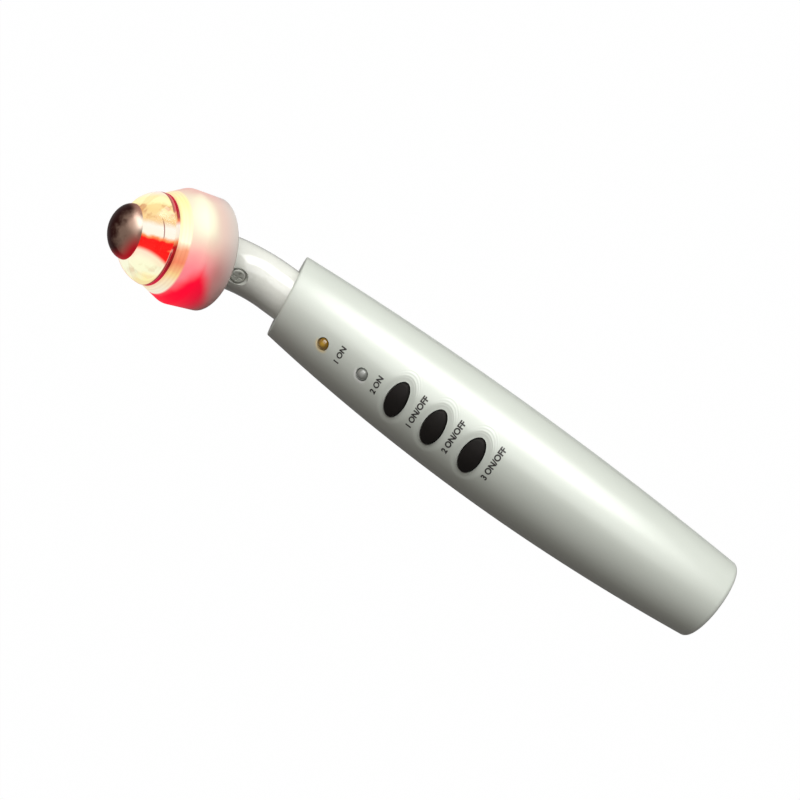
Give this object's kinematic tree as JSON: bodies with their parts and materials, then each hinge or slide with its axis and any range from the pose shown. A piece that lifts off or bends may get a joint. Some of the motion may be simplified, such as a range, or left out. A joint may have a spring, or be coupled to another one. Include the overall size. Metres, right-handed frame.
{
  "type": "eye massager",
  "caption": "Handheld eye massager: slim rounded grip with oval rubber buttons, a bent neck and a lit milky head with a clear lens and a heated round metal tip.",
  "frame": {"origin": "on the flat of the back, on the centre line of the rear shell between the battery door and the mouth", "axes": "+X along the grip towards the head, +Z out through the buttons, so that the flat of the back lies on Z = 0; +Y completes a right-handed frame"},
  "size_m": [0.1694, 0.0298, 0.047],
  "materials": {
    "pearl_shell": "pearly pale grey-green, glossy",
    "gloss_neck": "glossy pale grey",
    "milky_collar": "milky translucent, softly glossy",
    "clear_lens": "clear, polished",
    "red_seal": "translucent dark red, satin",
    "tip_steel": "mirror polished",
    "contact_steel": "bright plated steel",
    "black_rubber": "matt near-black",
    "black_plastic": "matt black",
    "white_plastic": "matt white",
    "amber_lens": "clear amber",
    "clear_lamp": "clear, slightly milky",
    "red_lamp": "clear red",
    "board_green": "green resist over glass fibre",
    "ceramic": "unglazed ceramic",
    "cell_jacket": "blue lacquered steel",
    "ferrite": "dark grey ferrite",
    "lead_red": "red insulation",
    "lead_black": "black insulation",
    "lead_yellow": "yellow insulation"
  },
  "bodies": {
    "grip": {"front_shell": "pearl_shell", "rear_shell": "pearl_shell", "battery_tray": "white_plastic", "cell_1": "cell_jacket", "cell_2": "cell_jacket", "link_plate": "contact_steel", "positive_plate": "contact_steel", "negative_plate": "contact_steel", "contact_spring_1": "contact_steel", "contact_spring_2": "contact_steel", "main_board": "board_green", "control_chip": "black_plastic", "boost_coil": "ferrite", "indicator_amber": "amber_lens", "indicator_clear": "clear_lamp", "neck": "gloss_neck", "lock_screw": "contact_steel", "head_base": "white_plastic", "collar": "milky_collar", "lens_seal": "red_seal", "lens": "clear_lens", "tip_stem": "white_plastic", "tip_cap": "tip_steel", "heater": "ceramic", "lamp_board": "board_green", "tail_screw": "contact_steel", "side_screw_left": "contact_steel", "side_screw_right": "contact_steel", "heater_lead_red": "lead_red", "heater_lead_black": "lead_black", "lamp_lead_red": "lead_red", "lamp_lead_black": "lead_black", "tip_lead": "lead_yellow", "cell_lead_red": "lead_red", "cell_lead_black": "lead_black", "switch_1": "black_plastic", "switch_2": "black_plastic", "switch_3": "black_plastic", "lamp_1": "red_lamp", "lamp_2": "red_lamp", "lamp_3": "red_lamp", "lamp_4": "red_lamp", "lamp_5": "red_lamp", "lamp_6": "red_lamp"},
    "key_1": {"button_1": "black_rubber", "plunger_1": "white_plastic"},
    "key_2": {"button_2": "black_rubber", "plunger_2": "white_plastic"},
    "key_3": {"button_3": "black_rubber", "plunger_3": "white_plastic"},
    "battery_lid": {"battery_door": "pearl_shell"}
  },
  "joints": [
    {"name": "button_1_press", "type": "slide", "parent": "grip", "child": "key_1", "axis": [0, 0, -1], "range_m": [0, 0.0005], "stiffness_N_per_m": 3000},
    {"name": "button_2_press", "type": "slide", "parent": "grip", "child": "key_2", "axis": [0, 0, -1], "range_m": [0, 0.0005], "stiffness_N_per_m": 3000},
    {"name": "button_3_press", "type": "slide", "parent": "grip", "child": "key_3", "axis": [0, 0, -1], "range_m": [0, 0.0005], "stiffness_N_per_m": 3000},
    {"name": "battery_lid_removal", "type": "slide", "parent": "grip", "child": "battery_lid", "axis": [0, 0, -1], "range_m": [0, 0.025]}
  ]
}
